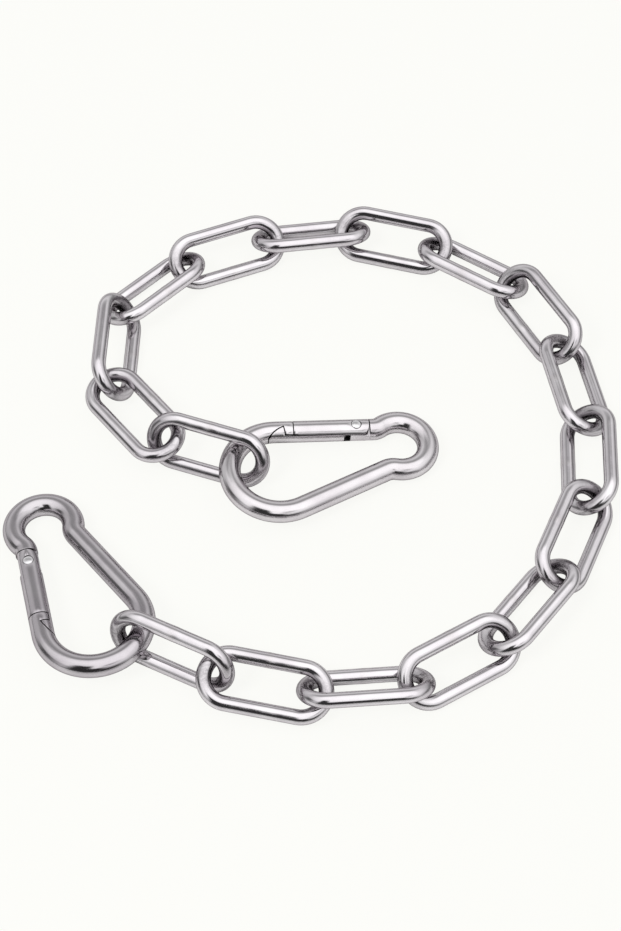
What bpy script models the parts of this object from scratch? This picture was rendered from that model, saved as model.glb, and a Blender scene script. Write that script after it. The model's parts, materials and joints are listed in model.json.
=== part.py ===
"""Stainless chain of seventeen long links with a spring snap hook at each end.

The chain lies on a level floor in an open spiral: hook A at the front left, then the links round the
right side and the back, and hook B in the middle.  Each link is bent from one round bar and closed by
a weld.  Each hook is a bent body with a gate, a rivet, a plunger and a spring.
Metres, +Z up, floor at z = 0, origin under the middle of the whole object.
"""

import math

import bmesh
import bpy
import numpy as np
from mathutils import Matrix, Vector

MM = 0.001

# Links
WIRE = 5.5 * MM            # diameter of the link bar
PITCH = 35.3 * MM          # inner length of a link
LINK_WIDTH = 22.0 * MM     # outer width of a link
PLAY = 0.35 * MM           # slack between two links where they lie nearest
ARC_STEPS = 8              # facets in each half-round end of a link

# How each link lies, from hook A to hook B: heading of its length and lean of its plane in degrees, then
# how far its back and its front end are held off the floor in millimetres, where they lie on a neighbour.
# A positive lean lifts the leg on the left of the heading.
LINK_LAY = (
    (-26, 74, 0.0, 0.0),
    (-10, 20, 4.5, 1.5),
    (4, -36, 0.0, 0.0),
    (30, 35, 0.0, 0.0),
    (51, -32, 0.0, 0.0),
    (66, 32, 0.0, 0.0),
    (87, -34, 0.0, 0.0),
    (101, 27, 0.0, 0.0),
    (119, -42, 0.0, 0.0),
    (147, 26, 0.0, 0.0),
    (165, -30, 0.0, 0.0),
    (187, 31, 0.0, 0.0),
    (201, -31, 0.0, 0.0),
    (224, 27, 0.0, 0.0),
    (268, -54, 0.0, 0.0),
    (309, 8, 4.8, 5.5),
    (341, 60, 0.0, 0.0),
)
FIRST_LINK = 9             # the link that the others are laid from, in the middle of the chain

# Hook body, in the hook's own plane: x from the narrow end to the wide end along the gate, with x = 0
# where the gate begins, y from the gate to the spine, z = 0 through the middle of the rod.
ROD = 7.8 * MM             # diameter of the hook's rod
HOOK_LENGTH = 80.0 * MM    # over the rod, from the narrow end to the wide end
WIDE_RADIUS = 17.1 * MM    # centre line of the wide end
EYE_RADIUS = 10.4 * MM     # centre line of the narrow end
EYE_BULGE = 2.9 * MM       # how far the eye's centre line stands out past the gate's
WIDE_TIP = 48.0 * MM       # x of the centre line at the wide end's tip
SPINE_SLOPE = 24.8         # degrees between the spine and the gate
NECK_RADIUS = 6.0 * MM     # bend between spine and eye
EXIT_RADIUS = 5.0 * MM     # bend between eye and gate line
BEND_STEP = 14.0           # degrees of bend in one facet of the rod

# Gate and its joint
GATE_START = -3.2 * MM
SHOULDER = -3.6 * MM       # where the rod ends and its tongue begins
SEAM = 24.0 * MM           # where the outer half of the gate meets the nose
SEAM_GAP = 0.4 * MM
PIVOT = 1.4 * MM           # x of the rivet
TONGUE_THICK = 3.0 * MM
TONGUE_RADIUS = 3.3 * MM
TONGUE_CORNER = (2.1 * MM, 3.7 * MM)   # from the rivet to the tongue's corner on the inner side
SLOT_HEIGHT = 3.7 * MM
SLOT_END = 5.9 * MM
BORE_RADIUS = 2.1 * MM     # spring bore in the gate
BORE_END = 17.0 * MM
RIVET_RADIUS = 1.3 * MM
RIVET_HEAD = 1.8 * MM
RIVET_PROUD = 0.15 * MM    # how far the rivet's dome stands above the gate
GAP = 0.3 * MM             # clearance between neighbouring pieces

# Claw of the gate, as (x past the seam, y) seen from above, and the nose's undercut round it.
CLAW = ((0.0, 3.2), (3.4, 3.2), (3.9, 0.4), (5.8, 1.4), (8.0, 3.0), (9.0, 4.0))
UNDERCUT = ((-1.0, 2.9), (3.0, 2.9), (3.6, -0.2), (6.0, 1.0), (8.3, 2.7), (9.4, 3.8))

# Spring and plunger in the gate
PLUNGER_RADIUS = 1.7 * MM
PLUNGER_LENGTH = 2.2 * MM
SPRING_WIRE = 0.6 * MM
SPRING_RADIUS = 1.3 * MM   # centre line of the coil
SPRING_TURNS = 5

# How the hooks lie: heading from the narrow end to the wide end and lift of the wide end in degrees, then
# how far the middle of the wide end is right of and behind the middle of the link it holds in millimetres.
HOOK_A_LAY = (-76.0, 5.1, -26.95, 11.75)
HOOK_B_LAY = (185.2, 4.7, 24.9, -8.4)

STEEL = (0.60, 0.585, 0.59, 1.0)
DARK_STEEL = (0.42, 0.41, 0.42, 1.0)

WIRE_R = WIRE / 2.0
ROD_R = ROD / 2.0
LINK_LENGTH = PITCH + 2.0 * WIRE
END_RADIUS = LINK_WIDTH / 2.0 - WIRE_R          # centre line of a link's round end
HALF_LEG = LINK_LENGTH / 2.0 - LINK_WIDTH / 2.0
UP = np.array((0.0, 0.0, 1.0))


def clear_scene():
    for obj in list(bpy.data.objects):
        bpy.data.objects.remove(obj, do_unlink=True)


def new_collection(name):
    collection = bpy.data.collections.new(name)
    bpy.context.scene.collection.children.link(collection)
    return collection


def steel(name, colour, roughness):
    material = bpy.data.materials.new(name)
    material.use_nodes = True
    shader = material.node_tree.nodes["Principled BSDF"]
    shader.inputs["Base Color"].default_value = colour
    shader.inputs["Metallic"].default_value = 1.0
    shader.inputs["Roughness"].default_value = roughness
    material.diffuse_color = colour
    return material


# Centre lines

def arc(centre, radius, start, end, step):
    """Points on an arc in the plane, both ends included; angles in degrees."""
    count = max(2, int(math.ceil(abs(end - start) / step)))
    angles = np.radians(np.linspace(start, end, count + 1))
    return [(centre[0] + radius * math.cos(a), centre[1] + radius * math.sin(a)) for a in angles]


def link_outline(steps):
    """Closed centre line of a link, long axis along x."""
    step = 180.0 / steps
    front = arc((HALF_LEG, 0.0), END_RADIUS, -90.0, 90.0, step)
    back = arc((-HALF_LEG, 0.0), END_RADIUS, 90.0, 270.0, step)
    return [(x, y, 0.0) for x, y in front + back]


def hook_outline(step):
    """Open centre line of a hook's body, from its nose round the wide end, spine and eye to its shoulder."""
    slope = math.radians(SPINE_SLOPE)
    wide = (WIDE_TIP - WIDE_RADIUS, WIDE_RADIUS)
    eye = (WIDE_TIP + ROD - HOOK_LENGTH + EYE_RADIUS, EYE_RADIUS - EYE_BULGE)
    along = np.array((math.cos(slope), math.sin(slope)))
    outward = np.array((-math.sin(slope), math.cos(slope)))
    spine_offset = np.dot(outward, wide) + WIDE_RADIUS
    # The neck's bend touches the spine from outside and the eye's circle from outside.
    rise = spine_offset + NECK_RADIUS - np.dot(outward, eye)
    run = math.sqrt((EYE_RADIUS + NECK_RADIUS) ** 2 - rise ** 2)
    neck = np.array(eye) + rise * outward + run * along
    neck_turn = math.degrees(math.atan2(neck[1] - eye[1], neck[0] - eye[0]))
    # The exit bend touches the eye's circle from outside and the gate line from below.
    drop = eye[1] + EXIT_RADIUS
    reach = math.sqrt((EYE_RADIUS + EXIT_RADIUS) ** 2 - drop ** 2)
    leave = (eye[0] + reach, -EXIT_RADIUS)
    leave_turn = math.degrees(math.atan2(leave[1] - eye[1], leave[0] - eye[0])) + 360.0
    points = [(SEAM + SEAM_GAP, 0.0)]
    points += arc(wide, WIDE_RADIUS, -90.0, 90.0 + SPINE_SLOPE, step)
    points += arc(neck, NECK_RADIUS, SPINE_SLOPE - 90.0, neck_turn - 180.0, step)
    points += arc(eye, EYE_RADIUS, neck_turn, leave_turn, step)[1:]
    points += arc(leave, EXIT_RADIUS, leave_turn - 180.0, 90.0, step)[1:]
    points.append((SHOULDER, 0.0))
    return [(x, y, 0.0) for x, y in points], wide


def densify(points, closed, step):
    """The same polyline with a point at least every step."""
    points = np.array(points)
    ends = np.roll(points, -1, axis=0) if closed else points[1:]
    starts = points if closed else points[:-1]
    rows = []
    for a, b in zip(starts, ends):
        count = max(1, int(math.ceil(np.linalg.norm(b - a) / step)))
        rows += [a + (b - a) * k / count for k in range(count)]
    return np.array(rows)


def nearest(first, second):
    """Smallest distance between two sets of points, and the two points."""
    gaps = np.linalg.norm(first[:, None, :] - second[None, :, :], axis=2)
    i, j = np.unravel_index(gaps.argmin(), gaps.shape)
    return gaps[i, j], first[i], second[j]


def turn(heading, tilt=0.0, roll=0.0):
    """Rotation that rolls about x, tips x up by tilt, then turns to a heading; degrees."""
    return (Matrix.Rotation(math.radians(heading), 3, "Z")
            @ Matrix.Rotation(-math.radians(tilt), 3, "Y")
            @ Matrix.Rotation(math.radians(roll), 3, "X"))


def placed(points, rotation, centre):
    return points @ np.array(rotation).T + centre


# Where everything lies

def slide_until(clear, direction, low, limit):
    """Bisect a slide for the place where the distance test first holds; None if it never does."""
    step = 0.6 * MM
    high = low
    while not clear(direction * high):
        high += step
        if high > limit:
            return None
    low = high - step
    for _ in range(10):
        middle = (low + high) / 2.0
        if clear(direction * middle):
            high = middle
        else:
            low = middle
    return high


def lay_links():
    """Centre, rotation and centre line of each link, pulled taut one after another from the first."""
    outline = densify(link_outline(24), True, 0.6 * MM)
    crown = LINK_LENGTH / 2.0 - WIRE_R
    centres = [None] * len(LINK_LAY)
    rotations = []
    heights = []
    for heading, lean, back, front in LINK_LAY:
        tilt = math.degrees(math.asin((front - back) * MM / (2.0 * crown)))
        rotations.append(turn(heading, tilt, lean))
        floor = WIRE_R + END_RADIUS * abs(math.sin(math.radians(lean)))
        heights.append(floor + (back + front) / 2.0 * MM)
    lines = [placed(outline, rotation, np.zeros(3)) for rotation in rotations]

    def settle(index, centre):
        centre = np.array((centre[0], centre[1], heights[index]))
        centres[index] = centre
        lines[index] = lines[index] + centre

    start = FIRST_LINK - 1
    settle(start, (0.0, 0.0, 0.0))
    order = [(k, k + 1, 1.0) for k in range(start, len(LINK_LAY) - 1)]
    order += [(k, k - 1, -1.0) for k in range(start, 0, -1)]
    for known, wanted, sense in order:
        out = sense * (np.array(rotations[known].col[0]) + np.array(rotations[wanted].col[0]))
        tips = centres[known] + crown * out
        tips[2] = heights[wanted]
        out[2] = 0.0
        out /= np.linalg.norm(out)
        across = np.cross(UP, out)
        best = None
        # Try the new link a little to either side, and keep the place where it reaches out furthest.
        for side in np.arange(-2.0, 2.01, 0.5) * MM:
            trial = lines[wanted] + tips + across * side
            slide = slide_until(lambda move: nearest(lines[known], trial + move)[0] >= WIRE + PLAY,
                                -out, 3.0 * MM, 12.0 * MM)
            if slide is not None and (best is None or slide < best[0]):
                best = (slide, side)
        settle(wanted, tips + across * best[1] - out * best[0])
    return centres, rotations, lines


def lay_hook(outline, wide, heading, tilt, east, north, link_centre):
    """Place a hook: narrow end on the floor, wide end resting on the link that it holds."""
    rotation = turn(heading, tilt)
    shape = placed(densify(outline, False, 0.6 * MM), rotation, np.zeros(3))
    middle = np.array(rotation @ Vector((wide[0], wide[1], 0.0)))
    origin = link_centre + np.array((east, north, 0.0)) * MM - middle
    origin[2] = ROD_R - shape[:, 2].min()
    return origin, rotation, shape + origin


# Solids

def swept_bar(name, points, closed, radius, collection, material, resolution=3):
    """A round bar along a polyline, as a closed mesh."""
    curve = bpy.data.curves.new(name + "_route", "CURVE")
    curve.dimensions = "3D"
    curve.bevel_depth = radius
    curve.bevel_resolution = resolution
    curve.use_fill_caps = not closed
    spline = curve.splines.new("POLY")
    spline.points.add(len(points) - 1)
    for point, place in zip(spline.points, points):
        point.co = (*place, 1.0)
    spline.use_cyclic_u = closed
    guide = bpy.data.objects.new(name + "_route", curve)
    collection.objects.link(guide)
    graph = bpy.context.evaluated_depsgraph_get()
    mesh = bpy.data.meshes.new_from_object(guide.evaluated_get(graph))
    bpy.data.objects.remove(guide, do_unlink=True)
    bpy.data.curves.remove(curve)
    edit = bmesh.new()
    edit.from_mesh(mesh)
    bmesh.ops.remove_doubles(edit, verts=edit.verts, dist=0.01 * MM)
    bmesh.ops.recalc_face_normals(edit, faces=edit.faces)
    edit.to_mesh(mesh)
    edit.free()
    mesh.name = name
    finish_mesh(mesh, material)
    obj = bpy.data.objects.new(name, mesh)
    collection.objects.link(obj)
    return obj


def finish_mesh(mesh, material):
    mesh.materials.clear()
    mesh.materials.append(material)
    mesh.shade_smooth()
    mesh.set_sharp_from_angle(angle=math.radians(40.0))


def object_from_bmesh(name, edit, collection, material=None):
    mesh = bpy.data.meshes.new(name)
    bmesh.ops.recalc_face_normals(edit, faces=edit.faces)
    edit.to_mesh(mesh)
    edit.free()
    if material:
        finish_mesh(mesh, material)
    obj = bpy.data.objects.new(name, mesh)
    collection.objects.link(obj)
    return obj


def as_cutter(obj):
    obj.hide_render = True
    obj.display_type = "WIRE"
    return obj


def plate(name, outline, thickness, collection):
    """A flat outline extruded evenly about z = 0."""
    edit = bmesh.new()
    corners = [edit.verts.new((x, y, -thickness / 2.0)) for x, y in outline]
    face = edit.faces.new(corners)
    sides = bmesh.ops.extrude_face_region(edit, geom=[face])
    moved = [item for item in sides["geom"] if isinstance(item, bmesh.types.BMVert)]
    bmesh.ops.translate(edit, verts=moved, vec=(0.0, 0.0, thickness))
    return object_from_bmesh(name, edit, collection)


def cylinder(name, radius, start, end, axis, place, collection, sides=16, tip=None, material=None):
    """A cylinder or cone from start to end along z, or along x, moved to place."""
    edit = bmesh.new()
    bmesh.ops.create_cone(edit, cap_ends=True, segments=sides, radius1=radius,
                          radius2=radius if tip is None else tip, depth=end - start)
    bmesh.ops.translate(edit, verts=edit.verts, vec=(0.0, 0.0, (start + end) / 2.0))
    if axis == "x":
        bmesh.ops.rotate(edit, verts=edit.verts, matrix=Matrix.Rotation(math.pi / 2.0, 3, "Y"))
    bmesh.ops.translate(edit, verts=edit.verts, vec=place)
    return object_from_bmesh(name, edit, collection, material)


def boolean(obj, cutter, operation):
    modifier = obj.modifiers.new(operation.lower() + "_" + cutter.name, "BOOLEAN")
    modifier.operation = operation
    modifier.solver = "EXACT"
    modifier.object = cutter


def claw_outline(rows, past):
    """Rows of the claw or its undercut in metres, closed off on the side where the gate opens."""
    shape = [(SEAM + x * MM, y * MM) for x, y in rows]
    last = shape[-1][0]
    return shape + [(last + 0.5 * MM, past)]


def hook_cutters(cutters):
    """Tools that shape the body and the gate, all in the hook's own frame."""
    deep = ROD * 1.5
    past = ROD_R * 1.4
    tools = {}
    # The gate keeps what lies in this outline: a square outer seam, the claw, and a rounded inner heel.
    heel = arc((PIVOT, 0.0), PIVOT - GATE_START, 100.0, 180.0, 20.0)
    outline = [(GATE_START, -past), (SEAM, -past)] + claw_outline(CLAW, past)
    outline += [(heel[0][0], past)] + heel
    tools["gate_plan"] = plate("gate_plan", outline, deep, cutters)
    under = claw_outline(UNDERCUT, past * 1.2)
    under.append((under[0][0], past * 1.2))
    tools["undercut"] = plate("undercut", under, deep, cutters)
    round_end = arc((PIVOT, 0.0), TONGUE_RADIUS, -90.0, 30.0, 22.5)
    root = SHOULDER - 2.0 * MM
    corner = (PIVOT + TONGUE_CORNER[0], TONGUE_CORNER[1])
    tongue = [(root, -TONGUE_RADIUS)] + round_end + [corner, (root, TONGUE_CORNER[1])]
    tools["tongue"] = plate("tongue", tongue, TONGUE_THICK, cutters)
    slot = [(-ROD, -ROD), (SLOT_END, -ROD), (SLOT_END, ROD), (-ROD, ROD)]
    tools["slot"] = plate("slot", slot, SLOT_HEIGHT, cutters)
    pivot = (PIVOT, 0.0, 0.0)
    tools["hole"] = cylinder("rivet_hole", RIVET_RADIUS + GAP * 1.15, -ROD, ROD, "z", pivot, cutters)
    seat = ROD_R - 1.0 * MM
    for side, low, high in (("top", seat, ROD), ("under", -ROD, -seat)):
        tools["seat_" + side] = cylinder("head_seat_" + side, RIVET_HEAD + GAP * 1.15, low, high, "z",
                                         pivot, cutters)
    bore = (0.0, 0.0, 0.0)
    tools["bore"] = cylinder("spring_bore", BORE_RADIUS, SLOT_END - 1.0 * MM, BORE_END, "x", bore, cutters)
    for tool in tools.values():
        as_cutter(tool)
    return tools


def bake(obj, collection):
    """Apply an object's modifiers, so that copies can share the finished mesh."""
    graph = bpy.context.evaluated_depsgraph_get()
    mesh = bpy.data.meshes.new_from_object(obj.evaluated_get(graph))
    edit = bmesh.new()
    edit.from_mesh(mesh)
    bmesh.ops.remove_doubles(edit, verts=edit.verts, dist=0.002 * MM)
    bmesh.ops.dissolve_degenerate(edit, edges=edit.edges, dist=0.002 * MM)
    edit.to_mesh(mesh)
    edit.free()
    mesh.name = obj.name
    finish_mesh(mesh, obj.data.materials[0])
    bpy.data.objects.remove(obj, do_unlink=True)
    return mesh


def body_mesh(outline, tools, collection, material):
    body = swept_bar("hook_body", outline, False, ROD_R, collection, material)
    boolean(body, tools["tongue"], "UNION")
    boolean(body, tools["hole"], "DIFFERENCE")
    boolean(body, tools["undercut"], "DIFFERENCE")
    return bake(body, collection)


def gate_mesh(outline, tools, collection, material):
    route = [(GATE_START, 0.0, 0.0), (WIDE_TIP - WIDE_RADIUS, 0.0, 0.0), outline[2]]
    gate = swept_bar("hook_gate", route, False, ROD_R, collection, material)
    boolean(gate, tools["gate_plan"], "INTERSECT")
    boolean(gate, tools["slot"], "DIFFERENCE")
    boolean(gate, tools["bore"], "DIFFERENCE")
    boolean(gate, tools["hole"], "DIFFERENCE")
    boolean(gate, tools["seat_top"], "DIFFERENCE")
    boolean(gate, tools["seat_under"], "DIFFERENCE")
    return bake(gate, collection)


def rivet_mesh(collection, material):
    """A turned rivet with a low dome at both ends, on the z axis of the pivot."""
    seat = ROD_R - 1.0 * MM + GAP
    top = ROD_R + RIVET_PROUD
    edge = top - 0.7 * MM
    half = [(RIVET_RADIUS, 0.0), (RIVET_RADIUS, seat), (RIVET_HEAD, seat), (RIVET_HEAD, edge),
            (RIVET_HEAD * 0.62, top - 0.15 * MM), (0.0, top)]
    profile = [(r, -z) for r, z in reversed(half)] + half[1:]
    edit = bmesh.new()
    verts = [edit.verts.new((PIVOT + r, 0.0, z)) for r, z in profile]
    edges = [edit.edges.new(pair) for pair in zip(verts, verts[1:])]
    bmesh.ops.spin(edit, geom=verts + edges, cent=(PIVOT, 0.0, 0.0), axis=(0.0, 0.0, 1.0),
                   angle=2.0 * math.pi, steps=12, use_merge=True)
    bmesh.ops.remove_doubles(edit, verts=edit.verts, dist=0.01 * MM)
    rivet = object_from_bmesh("hook_rivet", edit, collection, material)
    return bake(rivet, collection)


def plunger_mesh(collection, material):
    """A pin with a cone nose that the spring holds against the tongue's round end."""
    start = PIVOT + TONGUE_RADIUS + GAP
    pin = cylinder("hook_plunger", PLUNGER_RADIUS * 0.5, start, start + PLUNGER_LENGTH, "x",
                   (0.0, 0.0, 0.0), collection, 12, PLUNGER_RADIUS, material)
    return bake(pin, collection)


def spring_mesh(collection, material):
    """A compression spring between the plunger and the end of its bore."""
    start = PIVOT + TONGUE_RADIUS + GAP + PLUNGER_LENGTH + GAP + SPRING_WIRE / 2.0
    end = BORE_END - GAP - SPRING_WIRE / 2.0
    steps = 8 * SPRING_TURNS
    route = []
    for k in range(steps + 1):
        angle = 2.0 * math.pi * k / 8.0
        route.append((start + (end - start) * k / steps, SPRING_RADIUS * math.cos(angle),
                      SPRING_RADIUS * math.sin(angle)))
    spring = swept_bar("hook_spring", route, False, SPRING_WIRE / 2.0, collection, material, 1)
    return bake(spring, collection)


def add_object(name, mesh, collection, parent, world, origin=None):
    """A named object; its mesh frame lands on the world matrix and its origin on the joint axis."""
    obj = bpy.data.objects.new(name, mesh)
    collection.objects.link(obj)
    obj.parent = parent
    obj.matrix_world = world if origin is None else world @ Matrix.Translation(origin)
    return obj


def add_empty(name, place, parent, collection):
    empty = bpy.data.objects.new(name, None)
    collection.objects.link(empty)
    empty.empty_display_size = WIRE
    empty.parent = parent
    empty.location = Vector(place) - (parent.matrix_world.translation if parent else Vector())
    bpy.context.view_layer.update()
    return empty


def main():
    clear_scene()
    parts = new_collection("steel_chain_with_hooks")
    cutters = new_collection("cutters")
    polished = steel("polished_steel", STEEL, 0.16)
    rivet_steel = steel("rivet_steel", DARK_STEEL, 0.3)

    centres, rotations, lines = lay_links()
    outline, wide = hook_outline(BEND_STEP)
    fine_outline, _ = hook_outline(4.0)
    hook_a = lay_hook(fine_outline, wide, *HOOK_A_LAY, centres[0])
    hook_b = lay_hook(fine_outline, wide, *HOOK_B_LAY, centres[-1])

    # The origin goes under the middle of everything.
    bars = [(line, WIRE_R) for line in lines] + [(hook_a[2], ROD_R), (hook_b[2], ROD_R)]
    lows = [line.min(axis=0) - radius for line, radius in bars]
    highs = [line.max(axis=0) + radius for line, radius in bars]
    shift = -(np.min(lows, axis=0) + np.max(highs, axis=0)) / 2.0
    shift[2] = 0.0

    link_bar = swept_bar("link", link_outline(ARC_STEPS), True, WIRE_R, parts, polished)
    link_mesh = bake(link_bar, parts)
    anchor = add_empty("chain_anchor", centres[FIRST_LINK - 1] + shift, None, parts)

    def add_link(index, parent):
        world = Matrix.Translation(centres[index] + shift) @ rotations[index].to_4x4()
        add_object("link_%02d" % (index + 1), link_mesh, parts, parent, world)

    def junction(name, first, second, parent):
        _, a, b = nearest(first, second)
        return add_empty(name, (a + b) / 2.0 + shift, parent, parts)

    add_link(FIRST_LINK - 1, anchor)
    ends = {}
    for sense in (1, -1):
        parent = anchor
        index = FIRST_LINK - 1
        while 0 <= index + sense < len(LINK_LAY):
            outer = index + sense
            parent = junction("joint_link_%02d" % (outer + 1), lines[index], lines[outer], parent)
            add_link(outer, parent)
            index = outer
        ends[sense] = (parent, index)

    tools = hook_cutters(cutters)
    meshes = {
        "body": body_mesh(outline, tools, parts, polished),
        "gate": gate_mesh(outline, tools, parts, polished),
        "rivet": rivet_mesh(parts, rivet_steel),
        "plunger": plunger_mesh(parts, rivet_steel),
        "spring": spring_mesh(parts, rivet_steel),
    }
    # The gate's mesh is drawn about its rivet, so that its object turns on the rivet's axis.
    for piece in ("gate", "rivet", "plunger", "spring"):
        meshes[piece].transform(Matrix.Translation((-PIVOT, 0.0, 0.0)))
    for letter, (origin, rotation, line), sense in (("a", hook_a, -1), ("b", hook_b, 1)):
        parent, index = ends[sense]
        swivel = junction("joint_hook_" + letter, lines[index], line, parent)
        world = Matrix.Translation(origin + shift) @ rotation.to_4x4()
        add_object("hook_%s_body" % letter, meshes["body"], parts, swivel, world)
        hinge = world @ Matrix.Translation((PIVOT, 0.0, 0.0))
        for piece in ("gate", "rivet", "plunger", "spring"):
            add_object("hook_%s_%s" % (letter, piece), meshes[piece], parts, swivel, hinge)


main()
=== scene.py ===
# %% [markdown]
# A polished steel chain with a snap hook at each end
#
# Seventeen long links lie on a pale floor in an open spiral, and each end link holds a pear-shaped
# spring hook.  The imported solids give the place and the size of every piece.  This file dresses them:
# finer links and hooks of the same size, steel that shows how it was drawn and polished, and a soft
# white studio for it to mirror.  It is written as cells, and each one makes or measures one thing.

# %% Load the frame
import json
import math

import bmesh
import bpy
import numpy as np
from mathutils import Matrix, Vector

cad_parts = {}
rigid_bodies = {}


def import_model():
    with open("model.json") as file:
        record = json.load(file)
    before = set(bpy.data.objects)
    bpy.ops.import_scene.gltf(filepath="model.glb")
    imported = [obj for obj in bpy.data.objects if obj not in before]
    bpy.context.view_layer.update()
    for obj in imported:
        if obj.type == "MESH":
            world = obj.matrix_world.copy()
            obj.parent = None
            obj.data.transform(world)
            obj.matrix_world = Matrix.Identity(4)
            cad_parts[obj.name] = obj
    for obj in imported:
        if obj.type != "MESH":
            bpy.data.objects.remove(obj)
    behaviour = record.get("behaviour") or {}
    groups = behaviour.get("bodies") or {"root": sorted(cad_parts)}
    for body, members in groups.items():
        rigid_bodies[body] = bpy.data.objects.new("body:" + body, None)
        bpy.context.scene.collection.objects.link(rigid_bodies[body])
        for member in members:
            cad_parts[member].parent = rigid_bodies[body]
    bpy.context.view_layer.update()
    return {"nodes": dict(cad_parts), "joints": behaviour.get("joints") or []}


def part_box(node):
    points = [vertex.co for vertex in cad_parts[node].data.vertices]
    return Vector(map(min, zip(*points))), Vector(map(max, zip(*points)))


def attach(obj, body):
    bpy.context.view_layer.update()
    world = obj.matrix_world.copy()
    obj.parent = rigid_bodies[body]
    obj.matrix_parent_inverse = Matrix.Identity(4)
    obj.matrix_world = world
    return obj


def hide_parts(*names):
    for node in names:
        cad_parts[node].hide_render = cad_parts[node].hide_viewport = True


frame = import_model()
MM = 0.001

# %% [markdown]
# The camera
#
# A product shot like this one is taken with a long lens from well above, so that the links hardly shrink
# towards the back.  The camera looks at a point on the floor near the middle of the spiral, and four
# plain values place it: how steeply it looks down, how far it has turned, its distance and its lens.

# %% Place the camera
SENSOR_WIDTH = 36.0            # mm
PICTURE_HEIGHT = 931           # pixels; the long side, which Blender's sensor width spans
FOCAL_PIXELS = 1978.0          # the lens, in the same pixels
LOOK_DOWN = math.radians(55.37)
TURNED = math.radians(0.21)
DISTANCE = 712.2 * MM
TARGET = Vector((-0.9, -3.95, 0.0)) * MM

ahead = Vector((math.sin(TURNED), math.cos(TURNED), 0.0))
forward = ahead * math.cos(LOOK_DOWN) - Vector((0.0, 0.0, math.sin(LOOK_DOWN)))
right = Vector((math.cos(TURNED), -math.sin(TURNED), 0.0))
camera_data = bpy.data.cameras.new("camera")
camera_data.sensor_width = SENSOR_WIDTH
camera_data.lens = FOCAL_PIXELS * SENSOR_WIDTH / PICTURE_HEIGHT
camera = bpy.data.objects.new("camera", camera_data)
bpy.context.scene.collection.objects.link(camera)
camera.matrix_world = Matrix((right, right.cross(forward), -forward)).transposed().to_4x4()
camera.location = TARGET - forward * DISTANCE
bpy.context.scene.camera = camera
print("lens %.1f mm, camera %.0f mm above the floor" % (camera_data.lens, camera.location.z / MM))

# %% [markdown]
# How a link lies
#
# A link is the same when it is turned half round, so its solid tells everything about its place: the
# middle of its points is its centre, and the three directions in which they spread most, less and least
# are its length, its width and its thickness.  The length is pointed along the chain, from hook A to
# hook B, and the thickness upwards, so that the same leg carries the weld in every link.

# %% Read a link's place from its solid
LINKS = ["link_%02d" % number for number in range(1, 18)]


def points_of(node):
    return np.array([vertex.co for vertex in frame["nodes"][node].data.vertices])


middles = {name: points_of(name).mean(axis=0) for name in LINKS}


def lie_of(name):
    """World matrix of a link: x along it, y across it, z through its plane, and its three sizes."""
    index = LINKS.index(name)
    before, after = LINKS[max(index - 1, 0)], LINKS[min(index + 1, len(LINKS) - 1)]
    points = points_of(name) - middles[name]
    directions = np.linalg.svd(points, full_matrices=False)[2]
    along, across = Vector(directions[0]), Vector(directions[1])
    if along.dot(Vector(middles[after] - middles[before])) < 0.0:
        along.negate()
    if along.cross(across).z < 0.0:
        across.negate()
    matrix = Matrix((along, across, along.cross(across))).transposed().to_4x4()
    matrix.translation = Vector(middles[name])
    local = points @ np.array(matrix.to_3x3())
    return matrix, local.max(axis=0) - local.min(axis=0)


lies = {name: lie_of(name) for name in LINKS}
LENGTH, WIDTH, BAR = (float(size) for size in lies["link_09"][1])
print("a link is %.2f x %.2f mm of %.2f mm bar" % (LENGTH / MM, WIDTH / MM, BAR / MM))

# %% [markdown]
# Bending a bar
#
# Links and hooks are bent from round bar, so both are made the way a bending machine works.  A ring of
# points is the end of the bar.  The spin operator carries it on, straight with a slide or round a bend,
# and leaves a skin behind.  Each ring keeps two measures, how far it is along the bar and where each
# point is round it.  They become the UV map, so that the marks of drawing and polishing follow the bar.

# %% Grow a bar from a ring
class Bar:
    def __init__(self, radius, sides, start):
        """A ring square to x at the start point."""
        self.mesh = bmesh.new()
        self.along = self.mesh.verts.layers.float.new("along")
        self.around = self.mesh.verts.layers.float.new("around")
        self.sawn = self.mesh.faces.layers.float.new("sawn")
        self.length = 0.0
        square = Matrix.Translation(start) @ Matrix.Rotation(math.pi / 2.0, 4, "Y")
        bmesh.ops.create_circle(self.mesh, segments=sides, radius=radius, matrix=square)
        for vertex in self.mesh.verts:
            reach = vertex.co - Vector(start)
            vertex[self.around] = math.atan2(reach.z, reach.y) / (2.0 * math.pi)
        self.ring = list(self.mesh.verts) + list(self.mesh.edges)
        self.first = list(self.ring)

    def carry(self, steps, step_length, centre=(0.0, 0.0, 0.0), degrees=0.0, slide=(0.0, 0.0, 0.0)):
        """Move the ring on by some steps and note on its points how far along they are."""
        for _ in range(steps):
            made = bmesh.ops.spin(self.mesh, geom=self.ring, cent=centre, axis=(0.0, 0.0, 1.0),
                                  dvec=slide, angle=math.radians(degrees / steps), steps=1)
            self.ring = made["geom_last"]
            self.length += step_length
            for item in self.ring:
                if isinstance(item, bmesh.types.BMVert):
                    item[self.along] = self.length

    def straight(self, steps, run):
        run = Vector(run)
        self.carry(steps, run.length / steps, slide=run / steps)

    def bend(self, steps, centre, degrees, radius):
        self.carry(steps, radius * math.radians(abs(degrees)) / steps, centre=centre, degrees=degrees)

    def cap(self):
        """Close both ends with a flat face, sawn and not polished."""
        for end in (self.first, self.ring):
            edges = [item for item in end if isinstance(item, bmesh.types.BMEdge)]
            for face in bmesh.ops.contextual_create(self.mesh, geom=edges)["faces"]:
                face[self.sawn] = 1.0


# %% Lay the UV map from the two measures
SAME_POINT = 0.002 * MM        # points nearer than this become one
SHARP = 40.0                   # degrees; a steeper edge is shaded as an edge
TOOLED_SHARP = 30.0            # the same for pieces that are cut or turned


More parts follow.
